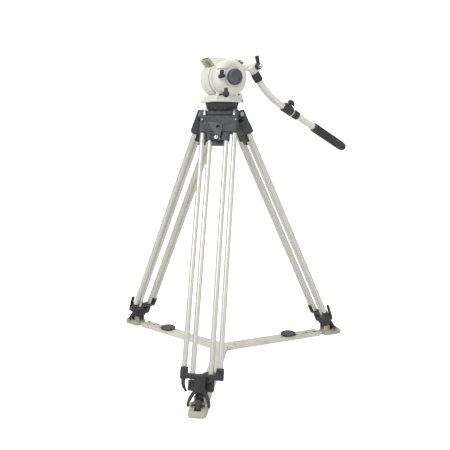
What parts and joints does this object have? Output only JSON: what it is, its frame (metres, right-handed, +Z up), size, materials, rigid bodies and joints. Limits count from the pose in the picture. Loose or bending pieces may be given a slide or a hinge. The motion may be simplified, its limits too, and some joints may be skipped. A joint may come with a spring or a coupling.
{
  "type": "fluid head on tripod",
  "caption": "Fluid pan and tilt head with a telescoping pan bar on a twin-tube aluminium tripod, standing on a telescoping ground spreader.",
  "frame": {"origin": "on the floor, under the centre of the spreader hub and of the crown", "axes": "+Z up; the view from -Y shows leg 1 in front; the head's operator side points 30 degrees from +X towards +Y"},
  "size_m": [0.942, 0.8695, 1.1022],
  "materials": {
    "cream_paint": "painted casting, satin, slightly worn",
    "tube_silver": "brushed and anodised tube",
    "cast_grey": "dark rough painted casting",
    "black_plastic": "moulded, fine grain",
    "grey_plastic": "moulded, fine grain",
    "steel": "ground",
    "rubber": "matt moulded",
    "spreader_beige": "painted, scuffed",
    "pad_olive": "matt, dusty"
  },
  "bodies": {
    "crown": {"crown_casting": "cast_grey", "leg_1_hinge_pin": "steel", "leg_2_hinge_pin": "steel", "leg_3_hinge_pin": "steel", "levelling_ball": "cast_grey"},
    "bowl_clamp": {"bowl_clamp_knob": "black_plastic"},
    "pan": {"pan_base": "cream_paint", "tilt_axle": "steel"},
    "pan_lock": {"pan_lock_lever": "black_plastic"},
    "tilt": {"tilt_body": "cream_paint", "bar_bracket": "cream_paint"},
    "drag": {"drag_knob": "grey_plastic"},
    "tilt_lock": {"tilt_lock_knob": "black_plastic"},
    "plate": {"camera_plate": "cast_grey"},
    "plate_lock": {"plate_lock_clip": "black_plastic"},
    "bar": {"bar_clamp": "cream_paint", "bar_collar": "black_plastic", "bar_bent_tube": "cream_paint", "bar_lock_collar": "black_plastic"},
    "bar_lever": {"bar_clamp_lever": "black_plastic"},
    "bar_wing": {"bar_wing_knob": "black_plastic"},
    "bar_extension": {"bar_extension_tube": "cream_paint", "bar_grip": "rubber"},
    "spreader": {"spreader_hub": "spreader_beige", "spreader_1_arm": "spreader_beige", "spreader_2_arm": "spreader_beige", "spreader_3_arm": "spreader_beige"},
    "leg_1_upper": {"leg_1_upper_casting": "cast_grey", "leg_1_outer_tube_a": "tube_silver", "leg_1_outer_tube_b": "tube_silver", "leg_1_lower_casting": "cast_grey"},
    "leg_1_lower": {"leg_1_inner_frame": "tube_silver", "leg_1_foot": "rubber"},
    "leg_1_clamp": {"leg_1_clamp_lever": "grey_plastic"},
    "pad_1": {"spreader_1_end_pad": "pad_olive"},
    "slider_1": {"spreader_1_slider": "spreader_beige"},
    "yoke_1": {"spreader_1_yoke": "black_plastic"},
    "knob_1": {"spreader_1_knob": "grey_plastic"},
    "leg_2_upper": {"leg_2_upper_casting": "cast_grey", "leg_2_outer_tube_a": "tube_silver", "leg_2_outer_tube_b": "tube_silver", "leg_2_lower_casting": "cast_grey"},
    "leg_2_lower": {"leg_2_inner_frame": "tube_silver", "leg_2_foot": "rubber"},
    "leg_2_clamp": {"leg_2_clamp_lever": "grey_plastic"},
    "pad_2": {"spreader_2_end_pad": "pad_olive"},
    "slider_2": {"spreader_2_slider": "spreader_beige"},
    "yoke_2": {"spreader_2_yoke": "black_plastic"},
    "knob_2": {"spreader_2_knob": "grey_plastic"},
    "leg_3_upper": {"leg_3_upper_casting": "cast_grey", "leg_3_outer_tube_a": "tube_silver", "leg_3_outer_tube_b": "tube_silver", "leg_3_lower_casting": "cast_grey"},
    "leg_3_lower": {"leg_3_inner_frame": "tube_silver", "leg_3_foot": "rubber"},
    "leg_3_clamp": {"leg_3_clamp_lever": "grey_plastic"},
    "pad_3": {"spreader_3_end_pad": "pad_olive"},
    "slider_3": {"spreader_3_slider": "spreader_beige"},
    "yoke_3": {"spreader_3_yoke": "black_plastic"},
    "knob_3": {"spreader_3_knob": "grey_plastic"}
  },
  "joints": [
    {"name": "leg_1_spread", "type": "hinge", "parent": "crown", "child": "leg_1_upper", "pos_m": [-0.00722, -0.04938, 0.89], "axis": [-0.9895, 0.1447, 0], "range_deg": [0, 5]},
    {"name": "leg_1_extension", "type": "slide", "parent": "leg_1_upper", "child": "leg_1_lower", "axis": [-0.0625, -0.4271, -0.9021], "range_m": [0, 0.25]},
    {"name": "pad_1_level", "type": "hinge", "parent": "leg_1_lower", "child": "pad_1", "pos_m": [-0.06642, -0.45417, 0.035], "axis": [-0.9895, 0.1447, 0], "range_deg": [-5, 0]},
    {"name": "slider_1_slide", "type": "slide", "parent": "pad_1", "child": "slider_1", "axis": [-0.1447, -0.9895, 0], "range_m": [-0.07306, 0]},
    {"name": "leg_1_clamp_turn", "type": "hinge", "parent": "leg_1_upper", "child": "leg_1_clamp", "pos_m": [-0.01558, -0.10652, 0.81564], "axis": [-0.1305, -0.8926, 0.4316], "range_deg": [0, 60]},
    {"name": "yoke_1_swing", "type": "hinge", "parent": "pad_1", "child": "yoke_1", "pos_m": [-0.0709, -0.48484, 0.0235], "axis": [0.9895, -0.1447, 0], "range_deg": [0, 65]},
    {"name": "spreader_1_knob_turn", "type": "hinge", "parent": "spreader", "child": "knob_1", "pos_m": [-0.04167, -0.28497, 0.02], "axis": [0, 0, 1], "continuous": true},
    {"name": "leg_2_spread", "type": "hinge", "parent": "crown", "child": "leg_2_upper", "pos_m": [0.04637, 0.01843, 0.89], "axis": [0.3694, -0.9293, 0], "range_deg": [0, 5]},
    {"name": "leg_2_extension", "type": "slide", "parent": "leg_2_upper", "child": "leg_2_lower", "axis": [0.4011, 0.1594, -0.9021], "range_m": [0, 0.25]},
    {"name": "pad_2_level", "type": "hinge", "parent": "leg_2_lower", "child": "pad_2", "pos_m": [0.42653, 0.16956, 0.035], "axis": [0.3694, -0.9293, 0], "range_deg": [-5, 0]},
    {"name": "slider_2_slide", "type": "slide", "parent": "pad_2", "child": "slider_2", "axis": [0.9293, 0.3694, 0], "range_m": [-0.07306, 0]},
    {"name": "leg_2_clamp_turn", "type": "hinge", "parent": "leg_2_upper", "child": "leg_2_clamp", "pos_m": [0.10004, 0.03977, 0.81564], "axis": [0.8382, 0.3332, 0.4316], "range_deg": [0, 60]},
    {"name": "yoke_2_swing", "type": "hinge", "parent": "pad_2", "child": "yoke_2", "pos_m": [0.45534, 0.18102, 0.0235], "axis": [-0.3694, 0.9293, 0], "range_deg": [0, 65]},
    {"name": "spreader_2_knob_turn", "type": "hinge", "parent": "spreader", "child": "knob_2", "pos_m": [0.26763, 0.10639, 0.02], "axis": [0, 0, 1], "continuous": true},
    {"name": "leg_3_spread", "type": "hinge", "parent": "crown", "child": "leg_3_upper", "pos_m": [-0.03915, 0.03094, 0.89], "axis": [0.6201, 0.7846, 0], "range_deg": [0, 5]},
    {"name": "leg_3_extension", "type": "slide", "parent": "leg_3_upper", "child": "leg_3_lower", "axis": [-0.3386, 0.2676, -0.9021], "range_m": [0, 0.25]},
    {"name": "pad_3_level", "type": "hinge", "parent": "leg_3_lower", "child": "pad_3", "pos_m": [-0.36011, 0.2846, 0.035], "axis": [0.6201, 0.7846, 0], "range_deg": [-5, 0]},
    {"name": "slider_3_slide", "type": "slide", "parent": "pad_3", "child": "slider_3", "axis": [-0.7846, 0.6201, 0], "range_m": [-0.07306, 0]},
    {"name": "leg_3_clamp_turn", "type": "hinge", "parent": "leg_3_upper", "child": "leg_3_clamp", "pos_m": [-0.08446, 0.06675, 0.81564], "axis": [-0.7077, 0.5593, 0.4316], "range_deg": [0, 60]},
    {"name": "yoke_3_swing", "type": "hinge", "parent": "pad_3", "child": "yoke_3", "pos_m": [-0.38443, 0.30383, 0.0235], "axis": [-0.6201, -0.7846, 0], "range_deg": [0, 65]},
    {"name": "spreader_3_knob_turn", "type": "hinge", "parent": "spreader", "child": "knob_3", "pos_m": [-0.22595, 0.17858, 0.02], "axis": [0, 0, 1], "continuous": true},
    {"name": "spreader_telescope", "type": "slide", "parent": "slider_1", "child": "spreader", "axis": [-0.1447, -0.9895, 0], "range_m": [-0.11774, 0]},
    {"name": "bowl_clamp_turn", "type": "hinge", "parent": "crown", "child": "bowl_clamp", "pos_m": [0, 0, 0.83], "axis": [0, 0, 1], "continuous": true},
    {"name": "pan_turn", "type": "hinge", "parent": "crown", "child": "pan", "pos_m": [0, 0, 0.95], "axis": [0, 0, 1], "continuous": true},
    {"name": "pan_lock_turn", "type": "hinge", "parent": "pan", "child": "pan_lock", "pos_m": [0.01399, -0.10624, 0.9545], "axis": [0.5, -0.866, 0], "range_deg": [-30, 30]},
    {"name": "tilt_turn", "type": "hinge", "parent": "pan", "child": "tilt", "pos_m": [0, 0, 1.014], "axis": [-0.5, 0.866, 0], "range_deg": [-60, 30]},
    {"name": "drag_turn", "type": "hinge", "parent": "tilt", "child": "drag", "pos_m": [0.045, -0.07794, 1.014], "axis": [0.5, -0.866, 0], "range_deg": [-150, 150]},
    {"name": "tilt_lock_turn", "type": "hinge", "parent": "tilt", "child": "tilt_lock", "pos_m": [-0.00323, -0.0954, 1.0185], "axis": [0.5, -0.866, 0], "range_deg": [0, 40]},
    {"name": "plate_slide", "type": "slide", "parent": "tilt", "child": "plate", "axis": [0.866, 0.5, 0], "range_m": [-0.03, 0.03]},
    {"name": "plate_lock_turn", "type": "hinge", "parent": "tilt", "child": "plate_lock", "pos_m": [0.06603, -0.01037, 1.069], "axis": [0.5, -0.866, 0], "range_deg": [0, 40]},
    {"name": "bar_angle", "type": "hinge", "parent": "tilt", "child": "bar", "pos_m": [0.12124, 0.07, 1.0625], "axis": [0.5, -0.866, 0], "range_deg": [0, 75]},
    {"name": "bar_lever_turn", "type": "hinge", "parent": "bar", "child": "bar_lever", "pos_m": [0.13324, 0.04922, 1.0625], "axis": [0.5, -0.866, 0], "range_deg": [0, 60]},
    {"name": "bar_wing_turn", "type": "hinge", "parent": "bar", "child": "bar_wing", "pos_m": [0.26305, 0.15187, 0.93415], "axis": [0.3932, 0.227, 0.891], "continuous": true},
    {"name": "bar_extend", "type": "slide", "parent": "bar", "child": "bar_extension", "axis": [0.7716, 0.4455, -0.454], "range_m": [0, 0.1]}
  ],
  "couplings": [
    {"joint": "pad_1_level", "follows": "leg_1_spread", "ratio": -1},
    {"joint": "slider_1_slide", "follows": "leg_1_spread", "m_per_rad": -0.83608},
    {"joint": "leg_2_spread", "follows": "leg_1_spread", "ratio": 1},
    {"joint": "leg_2_extension", "follows": "leg_1_extension", "ratio": 1},
    {"joint": "pad_2_level", "follows": "leg_1_spread", "ratio": -1},
    {"joint": "slider_2_slide", "follows": "leg_1_spread", "m_per_rad": -0.83608},
    {"joint": "leg_3_spread", "follows": "leg_1_spread", "ratio": 1},
    {"joint": "leg_3_extension", "follows": "leg_1_extension", "ratio": 1},
    {"joint": "pad_3_level", "follows": "leg_1_spread", "ratio": -1},
    {"joint": "slider_3_slide", "follows": "leg_1_spread", "m_per_rad": -0.83608},
    {"joint": "spreader_telescope", "follows": "leg_1_extension", "ratio": -0.47055}
  ]
}
